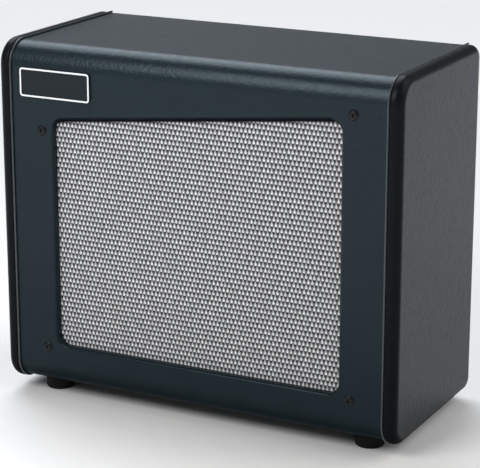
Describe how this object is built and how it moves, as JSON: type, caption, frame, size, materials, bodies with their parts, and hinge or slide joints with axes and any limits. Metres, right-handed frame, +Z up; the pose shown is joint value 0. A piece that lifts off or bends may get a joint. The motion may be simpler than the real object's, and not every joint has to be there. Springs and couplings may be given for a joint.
{
  "type": "guitar speaker cabinet",
  "caption": "Compact guitar speaker cabinet: vinyl-covered box with rounded edges, slanted cloth-covered front opening, round cone speaker, half-open back and rear input socket.",
  "frame": {"origin": "on the floor under the middle of the box", "axes": "+X to the right as seen from the grille side, +Y from the grille to the back, +Z up"},
  "size_m": [0.51, 0.235, 0.433],
  "materials": {
    "vinyl": "fine grained black vinyl, satin",
    "plywood": "bare birch plywood",
    "batten_wood": "bare planed pine",
    "baffle_paint": "plywood painted matte black",
    "piping": "smooth black plastic bead",
    "grille_cloth": "silver and black woven drops",
    "black_hardware": "black oxide, satin",
    "zinc": "zinc plated",
    "badge": "bare dark plate with a pale border",
    "foot_rubber": "matte black rubber",
    "back_vinyl": "plywood faced with black vinyl",
    "basket_paint": "semi-gloss dark paint",
    "gasket_board": "black gasket board",
    "ferrite": "dark grey ceramic magnet, matte",
    "cone_paper": "dark pressed paper",
    "former_foil": "tan voice-coil former",
    "copper": "copper wire",
    "cap_felt": "dark pressed paper",
    "surround_cloth": "doped cloth",
    "spider_cloth": "resin-treated woven cloth",
    "terminal_fibre": "brown fibre board",
    "tinned_brass": "tinned",
    "plate_paint": "black powder coat",
    "socket_plastic": "black moulded plastic",
    "nickel": "nickel plated",
    "red_lead": "red insulation",
    "black_lead": "black insulation",
    "clip_plastic": "black moulded plastic"
  },
  "bodies": {
    "cabinet": {"left_side_panel": "plywood", "right_side_panel": "plywood", "left_side_covering": "vinyl", "right_side_covering": "vinyl", "top_panel": "plywood", "bottom_panel": "plywood", "front_panel": "plywood", "top_corner_moulding": "plywood", "bottom_corner_moulding": "plywood", "shell_covering": "vinyl", "left_piping": "piping", "right_piping": "piping", "corner_battens": "batten_wood", "baffle_board": "baffle_paint", "grille_cloth": "grille_cloth", "baffle_cup_washers": "black_hardware", "baffle_bolts": "black_hardware", "baffle_tee_nuts": "zinc", "badge_plate": "badge", "feet": "foot_rubber", "foot_washers": "zinc", "foot_screws": "zinc", "left_back_cleat": "batten_wood", "right_back_cleat": "batten_wood", "top_back_cleat": "batten_wood", "bottom_back_cleat": "batten_wood", "upper_back_panel": "back_vinyl", "lower_back_panel": "back_vinyl", "back_panel_screws": "black_hardware", "speaker_basket": "basket_paint", "speaker_gasket": "gasket_board", "speaker_front_plate": "zinc", "speaker_magnet": "ferrite", "speaker_yoke": "zinc", "speaker_surround": "surround_cloth", "speaker_spider": "spider_cloth", "speaker_tee_nuts": "zinc", "speaker_washers": "zinc", "speaker_bolts": "black_hardware", "speaker_terminal_board": "terminal_fibre", "speaker_terminals": "tinned_brass", "lead_connectors": "tinned_brass", "tinsel_leads": "copper", "jack_plate": "plate_paint", "jack_plate_screws": "black_hardware", "jack_socket": "socket_plastic", "jack_washer": "nickel", "jack_nut": "nickel", "jack_rear_cap": "socket_plastic", "jack_sleeve_contact": "tinned_brass", "speaker_lead_positive": "red_lead", "speaker_lead_negative": "black_lead", "lead_clips": "clip_plastic", "lead_clip_screws": "zinc"},
    "cone": {"speaker_cone": "cone_paper", "speaker_dust_cap": "cap_felt", "voice_coil_former": "former_foil", "voice_coil_winding": "copper"},
    "tip_contact": {"jack_tip_contact": "tinned_brass"}
  },
  "joints": [
    {"name": "cone_travel", "type": "slide", "parent": "cabinet", "child": "cone", "axis": [0, 1, 0], "range_m": [-0.004, 0.004], "stiffness_N_per_m": 6500, "deforming": ["speaker_surround", "speaker_spider", "tinsel_leads"]},
    {"name": "tip_contact_flex", "type": "hinge", "parent": "cabinet", "child": "tip_contact", "pos_m": [0, 0.085, 0.0989], "axis": [1, 0, 0], "range_deg": [0, 4], "stiffness_Nm_per_rad": 0.05}
  ]
}
